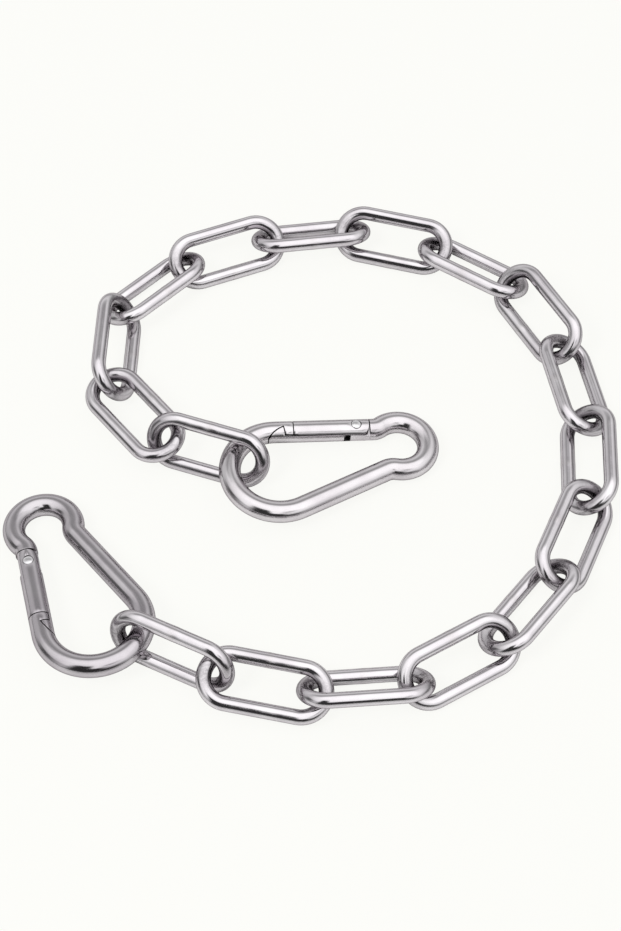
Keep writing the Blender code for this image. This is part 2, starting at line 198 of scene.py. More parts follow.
def lay_uv(edit, along, around, girth, closed_length=0.0):
    """U runs along the bar and V round it, both in metres, with a seam where either starts again."""
    uv = edit.loops.layers.uv.new("bar")
    for face in edit.faces:
        turns = [loop.vert[around] for loop in face.loops]
        runs = [loop.vert[along] for loop in face.loops]
        for loop, turn, run in zip(face.loops, turns, runs):
            if max(turns) - turn > 0.5:
                turn += 1.0
            if closed_length and max(runs) - run > closed_length / 2.0:
                run += closed_length
            loop[uv].uv = (run, turn * girth)


def to_object(name, edit, sharp=SHARP):
    """Merge doubles, point the faces outwards and make the object."""
    bmesh.ops.remove_doubles(edit, verts=edit.verts, dist=SAME_POINT)
    bmesh.ops.recalc_face_normals(edit, faces=edit.faces)
    mesh = bpy.data.meshes.new(name)
    edit.to_mesh(mesh)
    edit.free()
    mesh.shade_smooth()
    mesh.set_sharp_from_angle(angle=math.radians(sharp))
    piece = bpy.data.objects.new(name, mesh)
    bpy.context.scene.collection.objects.link(piece)
    return piece


# %% [markdown]
# One link
#
# The bar starts in the middle of one leg, goes round one end, back along the other leg and round the
# other end, and meets itself where the real one is welded.  An electric weld leaves the bar a hair
# thicker for two millimetres or so, even after polishing.  Two numbers are painted on the points: how
# near they are to the weld, and how near to the inside of an end, where the next link rubs and where
# the shade between two links is painted.

# %% Build the pattern for every link
LINK_SIDES = 40
END_STEPS = 26                 # rings round each end
LEG_STEPS = 14                 # rings along half a leg
WELD_SWELL = 0.05 * MM
WELD_REACH = 1.5 * MM
# how far the rubbed, painted-shade patch at the inside of an end reaches
RUB_AND_SHADE_REACH = 4.5 * MM

bar_radius = BAR / 2.0
end_radius = WIDTH / 2.0 - bar_radius
half_leg = LENGTH / 2.0 - WIDTH / 2.0

link_bar = Bar(bar_radius, LINK_SIDES, (0.0, end_radius, 0.0))
link_bar.straight(LEG_STEPS, (-half_leg, 0.0, 0.0))
link_bar.bend(END_STEPS, (-half_leg, 0.0, 0.0), 180.0, end_radius)
link_bar.straight(2 * LEG_STEPS, (2.0 * half_leg, 0.0, 0.0))
link_bar.bend(END_STEPS, (half_leg, 0.0, 0.0), 180.0, end_radius)
link_bar.straight(LEG_STEPS, (-half_leg, 0.0, 0.0))
bar_length = link_bar.length
bmesh.ops.remove_doubles(link_bar.mesh, verts=link_bar.mesh.verts, dist=SAME_POINT)
lay_uv(link_bar.mesh, link_bar.along, link_bar.around, 2.0 * math.pi * bar_radius, bar_length)

# %% Paint the weld, and the rubbed and shaded insides of the ends
weld = link_bar.mesh.verts.layers.float.new("weld")
rub_and_shade = link_bar.mesh.verts.layers.float.new("rub_and_shade")
for vertex in link_bar.mesh.verts:
    if vertex.co.y > 0.0 and abs(vertex.co.x) < half_leg:
        vertex[weld] = math.exp(-(vertex.co.x / WELD_REACH) ** 2)
        axis = Vector((vertex.co.x, end_radius, 0.0))
        vertex.co += (vertex.co - axis).normalized() * WELD_SWELL * vertex[weld]
    # the inside of each end, where the next link rubs and its shade is painted
    inside = Vector((math.copysign(half_leg + end_radius - bar_radius, vertex.co.x), 0.0, 0.0))
    vertex[rub_and_shade] = math.exp(-((vertex.co - inside).length / RUB_AND_SHADE_REACH) ** 2)
link_pattern = to_object("link_pattern", link_bar.mesh)
print("link pattern:", len(link_pattern.data.polygons), "faces from %.1f mm of bar" % (bar_length / MM))

# %% Lay one finished link over each link solid
def copy_at(matrix, pattern, name):
    """A piece of its own with the pattern's mesh, set down at its place in the world."""
    mesh = pattern.data.copy()
    mesh.name = name
    mesh.transform(matrix)
    piece = bpy.data.objects.new(name, mesh)
    bpy.context.scene.collection.objects.link(piece)
    return piece


link_pieces = []
for name in LINKS:
    piece = copy_at(lies[name][0], link_pattern, name + "_bar")
    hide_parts(name)
    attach(piece, name)
    link_pieces.append(piece)
bpy.data.objects.remove(link_pattern)
print(len(link_pieces), "links laid")

# %% [markdown]
# How a hook lies
#
# The gate of a hook turns on a rivet.  The joint gives the rivet's direction, which is square to the
# hook's plane, and the plunger inside the gate lies on the gate's own axis, so the line from rivet to
# plunger gives the hook's length.  The hook's own frame has x along the gate from where the gate starts,
# y from the gate towards the spine and z up through the plane.

# %% Read a hook's place from its rivet, plunger and joint
PIVOT = 1.4 * MM               # from the start of the gate's frame to the rivet


def hook_lie(letter):
    rivet = Vector(points_of("hook_%s_rivet" % letter).mean(axis=0))
    plunger = Vector(points_of("hook_%s_plunger" % letter).mean(axis=0))
    joint = next(j for j in frame["joints"] if j["name"] == "joint_gate_" + letter)
    up = Vector(joint["axis"]).normalized()
    along = plunger - rivet
    along = (along - up * along.dot(up)).normalized()
    matrix = Matrix((along, up.cross(along), up)).transposed().to_4x4()
    matrix.translation = rivet - along * PIVOT
    return matrix


hook_lies = {letter: hook_lie(letter) for letter in "ab"}
for letter, matrix in hook_lies.items():
    heading = math.degrees(math.atan2(matrix[1][0], matrix[0][0]))
    print("hook %s: gate heading %.1f degrees" % (letter, heading))

# %% [markdown]
# The body of a hook
#
# One rod makes the whole body.  From the nose it runs round the wide end, up the slanted spine, out
# through a tight neck, round the eye and back into line with the gate.  Each bend touches the next run
# without a corner, which fixes the places of the neck and the last bend from the few sizes below.

# %% Work out the bends of the rod
ROD = 7.8 * MM
HOOK_LENGTH = 80.0 * MM
WIDE_RADIUS = 17.1 * MM        # this and the other radii are of the middle of the rod
WIDE_TIP = 48.0 * MM           # how far the middle of the rod gets at the wide end
EYE_RADIUS = 10.4 * MM
EYE_BULGE = 2.9 * MM           # how far the eye passes the gate's line on the outer side
SPINE_SLOPE = 24.8             # degrees from the gate's line
NECK_RADIUS = 6.0 * MM
EXIT_RADIUS = 5.0 * MM
SHOULDER = -3.6 * MM           # where the rod ends in front of the gate
SEAM = 24.0 * MM               # where the gate meets the nose
SEAM_GAP = 0.4 * MM

rod_radius = ROD / 2.0
wide = Vector((WIDE_TIP - WIDE_RADIUS, WIDE_RADIUS, 0.0))
eye = Vector((WIDE_TIP + ROD - HOOK_LENGTH + EYE_RADIUS, EYE_RADIUS - EYE_BULGE, 0.0))
slope = math.radians(SPINE_SLOPE)
spine = Vector((math.cos(slope), math.sin(slope), 0.0))
outward = Vector((-math.sin(slope), math.cos(slope), 0.0))
rise = outward.dot(wide) + WIDE_RADIUS + NECK_RADIUS - outward.dot(eye)
neck = eye + outward * rise + spine * math.sqrt((EYE_RADIUS + NECK_RADIUS) ** 2 - rise ** 2)
reach = math.sqrt((EYE_RADIUS + EXIT_RADIUS) ** 2 - (eye.y + EXIT_RADIUS) ** 2)
leave = Vector((eye.x + reach, -EXIT_RADIUS, 0.0))


def bearing(start, end):
    return math.degrees(math.atan2(end.y - start.y, end.x - start.x)) % 360.0


neck_turn = bearing(eye, neck)
leave_turn = bearing(eye, leave)
spine_run = spine.dot(wide - neck)
print("neck at", [round(v / MM, 1) for v in neck[:2]], "spine %.1f mm long" % (spine_run / MM))

# %% Bend the rod
ROD_SIDES = 56
nose = SEAM + SEAM_GAP

rod = Bar(rod_radius, ROD_SIDES, (nose, 0.0, 0.0))
rod.straight(steps=4, run=(wide.x - nose, 0.0, 0.0))
rod.bend(steps=52, centre=wide, degrees=180.0 + SPINE_SLOPE, radius=WIDE_RADIUS)
rod.straight(steps=10, run=-spine * spine_run)
rod.bend(steps=16, centre=neck, degrees=-(90.0 + SPINE_SLOPE - neck_turn), radius=NECK_RADIUS)
rod.bend(steps=56, centre=eye, degrees=leave_turn - neck_turn, radius=EYE_RADIUS)
rod.bend(steps=14, centre=leave, degrees=-(leave_turn - 270.0), radius=EXIT_RADIUS)
rod.straight(steps=3, run=(SHOULDER - leave.x, 0.0, 0.0))
rod.cap()
lay_uv(rod.mesh, rod.along, rod.around, 2.0 * math.pi * rod_radius)
hook_rod = to_object("hook_rod", rod.mesh)
print("rod:", len(hook_rod.data.polygons), "faces")

# %% [markdown]
# Where gate and body meet
#
# The gate ends in a claw.  Most of it stops square at the nose, and a strip on its inner side runs on and
# rises into a pointed tooth that hooks into a notch in the nose, so a load can't pull the closed hook
# straight.  At the other end the rod is filed down to a flat tongue, which sits in a slot in the gate and
# carries the rivet.  A factory saws and mills these, so here flat cutters do the same work.

# %% Make flat cutters
DRILL_SIDES = 32
BROKEN_ANGLE = 35.0            # degrees; a steeper edge is broken after cutting


def mark_sawn(edit, mark):
    """The faces that a saw or drill leaves carry a mark of 1: no polish reaches them, and they are
    painted dark as shade.
    """
    sawn = edit.faces.layers.float.new("sawn")
    for face in edit.faces:
        face[sawn] = mark


def plate(name, outline, thickness, mark=1.0):
    """A flat outline, thick in z and even about the hook's plane."""
    edit = bmesh.new()
    corners = [edit.verts.new((x, y, -thickness / 2.0)) for x, y in outline]
    face = edit.faces.new(corners)
    grown = bmesh.ops.extrude_face_region(edit, geom=[face])
    moved = [item for item in grown["geom"] if isinstance(item, bmesh.types.BMVert)]
    bmesh.ops.translate(edit, verts=moved, vec=(0.0, 0.0, thickness))
    mark_sawn(edit, mark)
    return to_object(name, edit)


def arc(centre, radius, start, end, count):
    """Points of a flat arc, from one bearing in degrees to another."""
    angles = [math.radians(start + (end - start) * k / count) for k in range(count + 1)]
    return [(centre[0] + radius * math.cos(a), centre[1] + radius * math.sin(a)) for a in angles]


def drill(name, radius, low, high, axis="z", place=(0.0, 0.0, 0.0)):
    """A round cutter that reaches from low to high along its axis."""
    edit = bmesh.new()
    bmesh.ops.create_cone(edit, cap_ends=True, segments=DRILL_SIDES, radius1=radius, radius2=radius,
                          depth=high - low)
    bmesh.ops.translate(edit, verts=edit.verts, vec=(0.0, 0.0, (low + high) / 2.0))
    if axis == "x":
        bmesh.ops.rotate(edit, verts=edit.verts, matrix=Matrix.Rotation(math.pi / 2.0, 3, "Y"))
    bmesh.ops.translate(edit, verts=edit.verts, vec=place)
    mark_sawn(edit, 1.0)
    return to_object(name, edit)


def machine(work, steps, edge):
    """Cut, join or keep with each tool in turn, break the sharp edges and settle it in the mesh."""
    for operation, tool in steps:
        cut = work.modifiers.new(tool.name, "BOOLEAN")
        cut.operation = operation
        cut.solver = "EXACT"
        cut.object = tool
    soft = work.modifiers.new("broken_edges", "BEVEL")
    soft.width = edge
    soft.segments = 2
    soft.limit_method = "ANGLE"
    soft.angle_limit = math.radians(BROKEN_ANGLE)
    graph = bpy.context.evaluated_depsgraph_get()
    mesh = bpy.data.meshes.new_from_object(work.evaluated_get(graph))
    edit = bmesh.new()
    edit.from_mesh(mesh)
    bpy.data.meshes.remove(mesh)
    name = work.name
    bpy.data.objects.remove(work)
    return to_object(name, edit, TOOLED_SHARP)


print("tools ready")

# %% Draw the claw and its notch
# Each row is a distance past the seam and a distance towards the spine, in millimetres.
CLAW_STEP = ((0.0, 3.2), (3.4, 3.2), (3.9, 0.4))
CLAW_BACK = ((5.8, 1.4), (8.0, 3.0), (9.0, 4.0))
NOTCH_STEP = ((-1.0, 2.9), (3.0, 2.9), (3.6, -0.2))
NOTCH_BACK = ((6.0, 1.0), (8.3, 2.7), (9.4, 3.8))
CURVE_PARTS = 6                # short runs between two rows of the curved back
CLAW_LEAN = 0.5 * MM           # from the end of the back to the outline's last corner


def claw(step, back, past):
    """The step up to the tooth's point and its curved back, closed off where the gate opens."""
    rows = [Vector((x, y)) for x, y in step + back]
    tip = len(step) - 1
    curve = []
    for index in range(tip, len(rows) - 1):
        before, after = rows[max(index - 1, tip)], rows[min(index + 2, len(rows) - 1)]
        start, end = rows[index], rows[index + 1]
        for part in range(CURVE_PARTS):
            t = part / CURVE_PARTS
            a = start + (end - before) * (t / 2.0) if index > tip else start + (end - start) * t
            b = end - (after - start) * ((1.0 - t) / 2.0)
            curve.append(a.lerp(b, t))
    shape = [(SEAM + p.x * MM, p.y * MM) for p in rows[:tip] + curve + [rows[-1]]]
    return shape + [(shape[-1][0] + CLAW_LEAN, past)]


past = rod_radius * 1.4        # outlines of cutters end this far out, clear of the rod
notch_past = past * 1.2
claw_shape = claw(CLAW_STEP, CLAW_BACK, past)
notch_shape = claw(NOTCH_STEP, NOTCH_BACK, notch_past)
notch_shape.append((notch_shape[0][0], notch_past))
print("claw drawn with", len(claw_shape), "corners")

# %% Cut the notch and fit the tongue
GAP = 0.3 * MM
GATE_START = -3.2 * MM
TONGUE_THICK = 3.0 * MM
TONGUE_RADIUS = 3.3 * MM
TONGUE_CORNER = (2.1 * MM, 3.7 * MM)     # from the rivet, on the inner side
TONGUE_ROOT = 2.0 * MM         # how deep the tongue sits in the rod
RIVET_RADIUS = 1.3 * MM
RIVET_HEAD = 1.8 * MM          # radius
EDGE = 0.14 * MM
THROUGH = ROD * 1.5            # a plate as thick as this cuts right through the rod

rivet_place = (PIVOT, 0.0, 0.0)
root = SHOULDER - TONGUE_ROOT
tongue_end = arc((PIVOT, 0.0), TONGUE_RADIUS, start=-90.0, end=30.0, count=14)
tongue_end.append((PIVOT + TONGUE_CORNER[0], TONGUE_CORNER[1]))
tongue_shape = [(root, -TONGUE_RADIUS)] + tongue_end + [(root, TONGUE_CORNER[1])]
tongue = plate("tongue", tongue_shape, TONGUE_THICK, mark=0.0)
notch = plate("notch", notch_shape, THROUGH)
rivet_hole = drill("rivet_hole", RIVET_RADIUS + GAP, -ROD, ROD, place=rivet_place)
hook_rod.name = "hook_body"
hook_body = machine(hook_rod, (("DIFFERENCE", notch), ("UNION", tongue),
                               ("DIFFERENCE", rivet_hole)), EDGE)
print("hook body:", len(hook_body.data.polygons), "faces")

# %% [markdown]
# The gate
#
# The gate is a straight piece of the same rod.  It is sawn square at the seam, slotted for the tongue,
# bored for the spring, and drilled and counterbored for the rivet.  A narrow edge is broken all round,
# which, with the gap and its sawn faces painted dark as shade, makes its seams show as a dark line
# between two bright ones.

# %% Make the gate
SLOT_HEIGHT = 3.7 * MM
SLOT_END = 5.9 * MM
BORE_RADIUS = 2.1 * MM
BORE_START = SLOT_END - 1.0 * MM         # inside the slot, so that the two open into each other
BORE_END = 17.0 * MM
SEAT_DEPTH = 1.0 * MM
SNUG = 0.12 * MM               # the rivet's head fills its seat

gate_bar = Bar(rod_radius, ROD_SIDES, (GATE_START, 0.0, 0.0))
gate_bar.straight(steps=12, run=(wide.x - GATE_START, 0.0, 0.0))
gate_bar.bend(steps=5, centre=wide, degrees=20.0, radius=WIDE_RADIUS)
gate_bar.cap()
lay_uv(gate_bar.mesh, gate_bar.along, gate_bar.around, 2.0 * math.pi * rod_radius)
gate_rod = to_object("hook_gate", gate_bar.mesh)

heel = arc((PIVOT, 0.0), PIVOT - GATE_START, start=100.0, end=180.0, count=10)
plan = [(GATE_START, -past), (SEAM, -past)] + claw_shape + [(heel[0][0], past)] + heel
gate_plan = plate("gate_plan", plan, THROUGH)
slot = plate("slot", [(-ROD, -ROD), (SLOT_END, -ROD), (SLOT_END, ROD), (-ROD, ROD)], SLOT_HEIGHT)
bore = drill("bore", BORE_RADIUS, BORE_START, BORE_END, "x")
seat = rod_radius - SEAT_DEPTH
seat_top = drill("seat_top", RIVET_HEAD + SNUG, seat, ROD, place=rivet_place)
seat_under = drill("seat_under", RIVET_HEAD + SNUG, -ROD, -seat, place=rivet_place)
hook_gate = machine(gate_rod, (("INTERSECT", gate_plan), ("DIFFERENCE", slot), ("DIFFERENCE", bore),
                               ("DIFFERENCE", rivet_hole), ("DIFFERENCE", seat_top),
                               ("DIFFERENCE", seat_under)), EDGE)
for tool in (tongue, notch, rivet_hole, gate_plan, slot, bore, seat_top, seat_under):
    bpy.data.objects.remove(tool)
print("gate:", len(hook_gate.data.polygons), "faces")

# %% [markdown]
# Rivet, plunger and spring
#
# The rivet is a turned pin whose ends were pressed into low domes.  Inside the gate a spring pushes a
# plunger with a cone nose against the tongue, which is what snaps the gate shut.  The first two are
# turned shapes, so a short profile is spun about its axis, and the spring is a ring spun along a screw.

# %% Turn the rivet
RIVET_PROUD = 0.15 * MM        # how far the dome stands out of the gate
RIVET_SIDES = 40
DOME_HEIGHT = 0.5 * MM
DOME_STEPS = 8
HEAD_CHAMFER = 0.08 * MM


def turned(profile, sides):
    """Spin a half profile of (radius, height) pairs about z."""
    edit = bmesh.new()
    verts = [edit.verts.new((radius, 0.0, height)) for radius, height in profile]
    edges = [edit.edges.new(pair) for pair in zip(verts, verts[1:])]
    bmesh.ops.spin(edit, geom=verts + edges, axis=(0.0, 0.0, 1.0), angle=2.0 * math.pi, steps=sides,
                   use_merge=True)
    return edit


top = rod_radius + RIVET_PROUD
under_head = seat + GAP
dome = [(RIVET_HEAD * math.cos(a), top - DOME_HEIGHT + DOME_HEIGHT * math.sin(a))
        for a in (math.pi / 2.0 * k / DOME_STEPS for k in range(DOME_STEPS + 1))]
half = [(RIVET_RADIUS, 0.0), (RIVET_RADIUS, under_head), (RIVET_HEAD - HEAD_CHAMFER, under_head),
        (RIVET_HEAD, under_head + HEAD_CHAMFER)] + dome
rivet_edit = turned([(r, -z) for r, z in reversed(half)] + half[1:], RIVET_SIDES)
bmesh.ops.translate(rivet_edit, verts=rivet_edit.verts, vec=rivet_place)
hook_rivet = to_object("hook_rivet", rivet_edit, TOOLED_SHARP)
print("rivet %.1f mm across its heads" % (2.0 * RIVET_HEAD / MM))

# %% Turn the plunger and wind the spring
PLUNGER_SIDES = 32
PLUNGER_RADIUS = 1.7 * MM
PLUNGER_LENGTH = 2.2 * MM
PLUNGER_RIM = 0.4 * MM         # the straight part behind the cone, with its chamfer
PLUNGER_CHAMFER = 0.1 * MM
SPRING_WIRE = 0.6 * MM
SPRING_RADIUS = 1.3 * MM
SPRING_TURNS = 5
TURN_STEPS = 24
SPRING_SIDES = 10

start = PIVOT + TONGUE_RADIUS + GAP
tip_radius = PLUNGER_RADIUS * 0.5
profile = [(0.0, 0.0), (tip_radius - PLUNGER_CHAMFER, 0.0), (tip_radius, PLUNGER_CHAMFER),
           (PLUNGER_RADIUS, PLUNGER_LENGTH - PLUNGER_RIM),
           (PLUNGER_RADIUS, PLUNGER_LENGTH - PLUNGER_CHAMFER),
           (PLUNGER_RADIUS - PLUNGER_CHAMFER, PLUNGER_LENGTH), (0.0, PLUNGER_LENGTH)]
plunger_edit = turned(profile, PLUNGER_SIDES)
bmesh.ops.rotate(plunger_edit, verts=plunger_edit.verts, matrix=Matrix.Rotation(math.pi / 2.0, 3, "Y"))
bmesh.ops.translate(plunger_edit, verts=plunger_edit.verts, vec=(start, 0.0, 0.0))
hook_plunger = to_object("hook_plunger", plunger_edit, TOOLED_SHARP)

spring_start = start + PLUNGER_LENGTH + GAP + SPRING_WIRE / 2.0
spring_end = BORE_END - GAP - SPRING_WIRE / 2.0
lead = (spring_end - spring_start) / (SPRING_TURNS * TURN_STEPS)
coil = bmesh.new()
place = Matrix.Translation((spring_start, SPRING_RADIUS, 0.0))
bmesh.ops.create_circle(coil, segments=SPRING_SIDES, radius=SPRING_WIRE / 2.0, matrix=place)
first_ring = list(coil.edges)
wound = bmesh.ops.spin(coil, geom=list(coil.verts) + first_ring, axis=(1.0, 0.0, 0.0),
                       dvec=(lead, 0.0, 0.0), angle=2.0 * math.pi * SPRING_TURNS,
                       steps=SPRING_TURNS * TURN_STEPS)
last_ring = [item for item in wound["geom_last"] if isinstance(item, bmesh.types.BMEdge)]
for end in (first_ring, last_ring):
    bmesh.ops.contextual_create(coil, geom=end)
hook_spring = to_object("hook_spring", coil)
print("spring of", SPRING_TURNS, "turns,", len(hook_spring.data.polygons), "faces")

# %% Lay the hooks over their solids
patterns = {"body": hook_body, "gate": hook_gate, "rivet": hook_rivet, "plunger": hook_plunger,
            "spring": hook_spring}
hook_pieces = {kind: [] for kind in patterns}
for letter, matrix in hook_lies.items():
    for kind, pattern in patterns.items():
        node = "hook_%s_%s" % (letter, kind)
        piece = copy_at(matrix, pattern, node + "_shape")
        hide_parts(node)
        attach(piece, "hook_" + letter if kind == "body" else "hook_%s_gate" % letter)
        hook_pieces[kind].append(piece)
for pattern in patterns.values():
    bpy.data.objects.remove(pattern)
for letter, body in zip("ab", hook_pieces["body"]):
    low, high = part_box("hook_%s_body" % letter)
    off = max(abs(min(v.co[k] for v in body.data.vertices) - low[k]) for k in range(3))
    print("hook %s body laid, %.2f mm from its solid's low corner" % (letter, off / MM))

# %% [markdown]
# Polished steel
#
# Polished stainless steel has hardly any colour of its own: it shows the room.  What makes it steel and
# not a mirror is small.  Long soft waves left by bending and by the polishing belt make reflections
# wander.  Drawing leaves hair-fine lines along the bar.  Handling leaves short scratches in every
# direction, the weld is a little duller and warmer, and the insides of the ends are rubbed and painted
# near-black as the shade where the next link sits.  No polishing wheel reaches the sawn faces at a seam,
# which stay dull, and they are painted dark as the shade in seams and holes.

# %% Small node helpers
def new_material(name):
    """An empty material and its node tree."""
    material = bpy.data.materials.new(name)
    material.use_nodes = True
    material.node_tree.nodes.clear()
    return material, material.node_tree


def add(tree, kind, **settings):
    """A new node; each setting is one of its inputs or, failing that, one of its properties."""
    node = tree.nodes.new(kind)
    for key, value in settings.items():
        if key in node.inputs:
            node.inputs[key].default_value = value
        else:
            setattr(node, key, value)
    return node


def wire(tree, source, output, target, socket):
    tree.links.new(source.outputs[output], target.inputs[socket])


def remap(tree, source, output, low, high, to_low, to_high):
    """Stretch the values from low to high so that they run from to_low to to_high."""
    node = add(tree, "ShaderNodeMapRange")
    wire(tree, source, output, node, "Value")
    for key, value in zip(("From Min", "From Max", "To Min", "To Max"), (low, high, to_low, to_high)):
        node.inputs[key].default_value = value
    return node


def blend_colours(tree, factor, output, first, second):
    """Blend two colours, given as values or as sockets, by a factor."""
    node = tree.nodes.new("ShaderNodeMix")
    node.data_type = "RGBA"
    wire(tree, factor, output, node, "Factor")
    for socket, value in ((6, first), (7, second)):
        if isinstance(value, tuple):
            node.inputs[socket].default_value = value
        else:
            tree.links.new(value, node.inputs[socket])
    return node.outputs[2]


print("node helpers ready")

# %% Build the polished steel
BRIGHT = (0.645, 0.623, 0.641, 1.0)      # links
MAUVE = (0.560, 0.531, 0.556, 1.0)
SOFT = (0.625, 0.602, 0.618, 1.0)        # hook B, in the middle
SOFT_MAUVE = (0.545, 0.515, 0.535, 1.0)
# painted shade: hook A, to the front left, has a darker copy of the same hook steel
HOOK_A_SHADED = (0.510, 0.487, 0.505, 1.0)        # hook A, front left, is a shade darker than hook B
HOOK_A_SHADED_MAUVE = (0.450, 0.420, 0.447, 1.0)
PIN = (0.72, 0.71, 0.72, 1.0)            # rivets, plungers and springs
PIN_MAUVE = (0.60, 0.59, 0.61, 1.0)
# near-black for the insides of the ends: wear, and painted shade where the next link sits
RUBBED_AND_SHADED = (0.130, 0.118, 0.126, 1.0)
# painted shade: near-black for the sawn faces in seams, slots and holes
SAWN_AND_SEAM_SHADE = (0.160, 0.150, 0.155, 1.0)
STRAW = (0.50, 0.46, 0.43, 1.0)          # the weld
EDGE_TINT = (0.45, 0.43, 0.44, 1.0)      # keeps the grazing edges of a bar from turning white
STRETCH = (90.0, 5200.0, 1.0)            # drawing lines, per metre along the bar and round it

# What each mark adds to the roughness where it is strongest.
LINES_ADD = 0.03
SCRATCHES_ADD = 0.12
WELD_ADDS = 0.07
RUBBING_ADDS = 0.16
SAWING_ADDS = 0.20


def steel(name, bright, mauve, roughness, wave, line):
    """Polished bar: wave and line are the depths of the long waves and of the drawing lines."""
    material, tree = new_material(name)
    out = add(tree, "ShaderNodeOutputMaterial")
    shader = add(tree, "ShaderNodeBsdfPrincipled", Metallic=1.0)
    shader.inputs["Specular Tint"].default_value = EDGE_TINT
    wire(tree, shader, "BSDF", out, "Surface")
    place = add(tree, "ShaderNodeTexCoord")

    # Cloudy patches, a few to a link, shift the colour and the polish together.
    clouds = add(tree, "ShaderNodeTexNoise", Scale=95.0, Detail=3.0, Roughness=0.55)
    wire(tree, place, "Object", clouds, "Vector")
    patch = remap(tree, clouds, "Fac", 0.35, 0.68, 0.0, 1.0)
    colour = blend_colours(tree, patch, "Result", bright, mauve)

    # Drawing lines run along the bar: the pattern is long in U and very fine in V.
    stretch = add(tree, "ShaderNodeMapping")
    stretch.inputs["Scale"].default_value = STRETCH
    wire(tree, place, "UV", stretch, "Vector")
    lines = add(tree, "ShaderNodeTexNoise", Scale=1.0, Detail=4.0, Roughness=0.7)
    wire(tree, stretch, "Vector", lines, "Vector")

    # Short scratches of handling: thin bright threads where a distorted noise crosses its middle value.
    thread = add(tree, "ShaderNodeTexNoise", Scale=620.0, Detail=2.0, Roughness=0.5, Distortion=1.6)
    wire(tree, place, "Object", thread, "Vector")
    middle = add(tree, "ShaderNodeMath", operation="SUBTRACT")
    middle.inputs[1].default_value = 0.5
    wire(tree, thread, "Fac", middle, 0)
    width = add(tree, "ShaderNodeMath", operation="ABSOLUTE")
    wire(tree, middle, "Value", width, 0)
    scratch = remap(tree, width, "Value", 0.0, 0.012, 1.0, 0.0)

    # The weld, and the rubbed inside of the ends, painted near-black as the shade where the next link
    # sits.
    weld_mark = add(tree, "ShaderNodeAttribute", attribute_name="weld")
    warm = remap(tree, weld_mark, "Fac", 0.15, 1.0, 0.0, 0.15)
    colour = blend_colours(tree, warm, "Result", colour, STRAW)
    rub_and_shade_mark = add(tree, "ShaderNodeAttribute", attribute_name="rub_and_shade")
    worn_and_shaded = add(tree, "ShaderNodeMath", operation="MULTIPLY")
    wire(tree, rub_and_shade_mark, "Fac", worn_and_shaded, 0)
    wire(tree, remap(tree, thread, "Fac", 0.42, 0.62, 0.6, 1.0), "Result", worn_and_shaded, 1)
    # painted shade: the inside of each end turns near-black where the next link sits
    colour = blend_colours(tree, worn_and_shaded, "Value", colour, RUBBED_AND_SHADED)

    # Sawn and drilled faces are left as the tool left them, dull, and painted dark as the shade in seams
    # and holes.
    sawn_shade_mark = add(tree, "ShaderNodeAttribute", attribute_name="sawn")
    # painted shade on the sawn faces
    colour = blend_colours(tree, sawn_shade_mark, "Fac", colour, SAWN_AND_SEAM_SHADE)
    tree.links.new(colour, shader.inputs["Base Color"])

    # Roughness: a polished ground, plus lines, scratches, weld and rubbing.
    ground = remap(tree, clouds, "Fac", 0.3, 0.7, roughness * 0.75, roughness * 1.35)
    total = ground.outputs["Result"]
    for part, socket, amount in ((lines, "Fac", LINES_ADD), (scratch, "Result", SCRATCHES_ADD),
                                 (weld_mark, "Fac", WELD_ADDS), (worn_and_shaded, "Value", RUBBING_ADDS),
                                 (sawn_shade_mark, "Fac", SAWING_ADDS)):
        more = add(tree, "ShaderNodeMath", operation="MULTIPLY_ADD")
        wire(tree, part, socket, more, 0)
        more.inputs[1].default_value = amount
        tree.links.new(total, more.inputs[2])
        total = more.outputs["Value"]
    tree.links.new(total, shader.inputs["Roughness"])

    # Relief: long waves first, then the lines, and the scratches cut half as deep again as the lines.
    swell = add(tree, "ShaderNodeTexNoise", Scale=130.0, Detail=1.0, Roughness=0.4)
    wire(tree, place, "Object", swell, "Vector")
    normal = None
    for part, socket, depth in ((swell, "Fac", wave), (lines, "Fac", line),
                                (scratch, "Result", -line * 1.5)):
        relief = add(tree, "ShaderNodeBump", Strength=1.0, Distance=abs(depth), invert=depth < 0.0)
        wire(tree, part, socket, relief, "Height")
        if normal:
            tree.links.new(normal, relief.inputs["Normal"])
        normal = relief.outputs["Normal"]
    tree.links.new(normal, shader.inputs["Normal"])
    return material


link_steel = steel("link_steel", BRIGHT, MAUVE, roughness=0.075, wave=0.10 * MM, line=0.0012 * MM)
# hook A's steel: the hook steel painted a shade darker for where that hook lies
dark_steel = steel("dark_steel", HOOK_A_SHADED, HOOK_A_SHADED_MAUVE, roughness=0.095, wave=0.10 * MM, line=0.0012 * MM)
hook_steel = steel("hook_steel", SOFT, SOFT_MAUVE, roughness=0.095, wave=0.09 * MM, line=0.0012 * MM)
pin_steel = steel("pin_steel", PIN, PIN_MAUVE, roughness=0.2, wave=0.03 * MM, line=0.0015 * MM)
print("steels for the links, the two hooks and their pins")

# %% Give every piece its steel
for piece in link_pieces:
    piece.data.materials.clear()
    piece.data.materials.append(link_steel)
for kind, made in hook_pieces.items():
    for piece in made:
        piece.data.materials.clear()
        bar = dark_steel if piece.name.startswith("hook_a") else hook_steel
        piece.data.materials.append(bar if kind in ("body", "gate") else pin_steel)
print("materials on", len(link_pieces) + sum(len(made) for made in hook_pieces.values()), "pieces")

# %% [markdown]
# The studio
#
# A round bar mirrors the whole room as stripes along it, so the room matters more than any lamp.  Seen
# from above, a bar's lower edge shows the white sheet it lies on.  Next comes a dark stripe, where the
# room is dark behind and below the camera, and above that the bright ceiling.  The wall at the back is
# grey at half its height and lighter low down.  A picture of a room would do this too, but a few painted
# walls are easier to read and to change: each is a ramp of brightness by height, set in a ring of places
# around the object, and the world's shader blends from one place to the next.

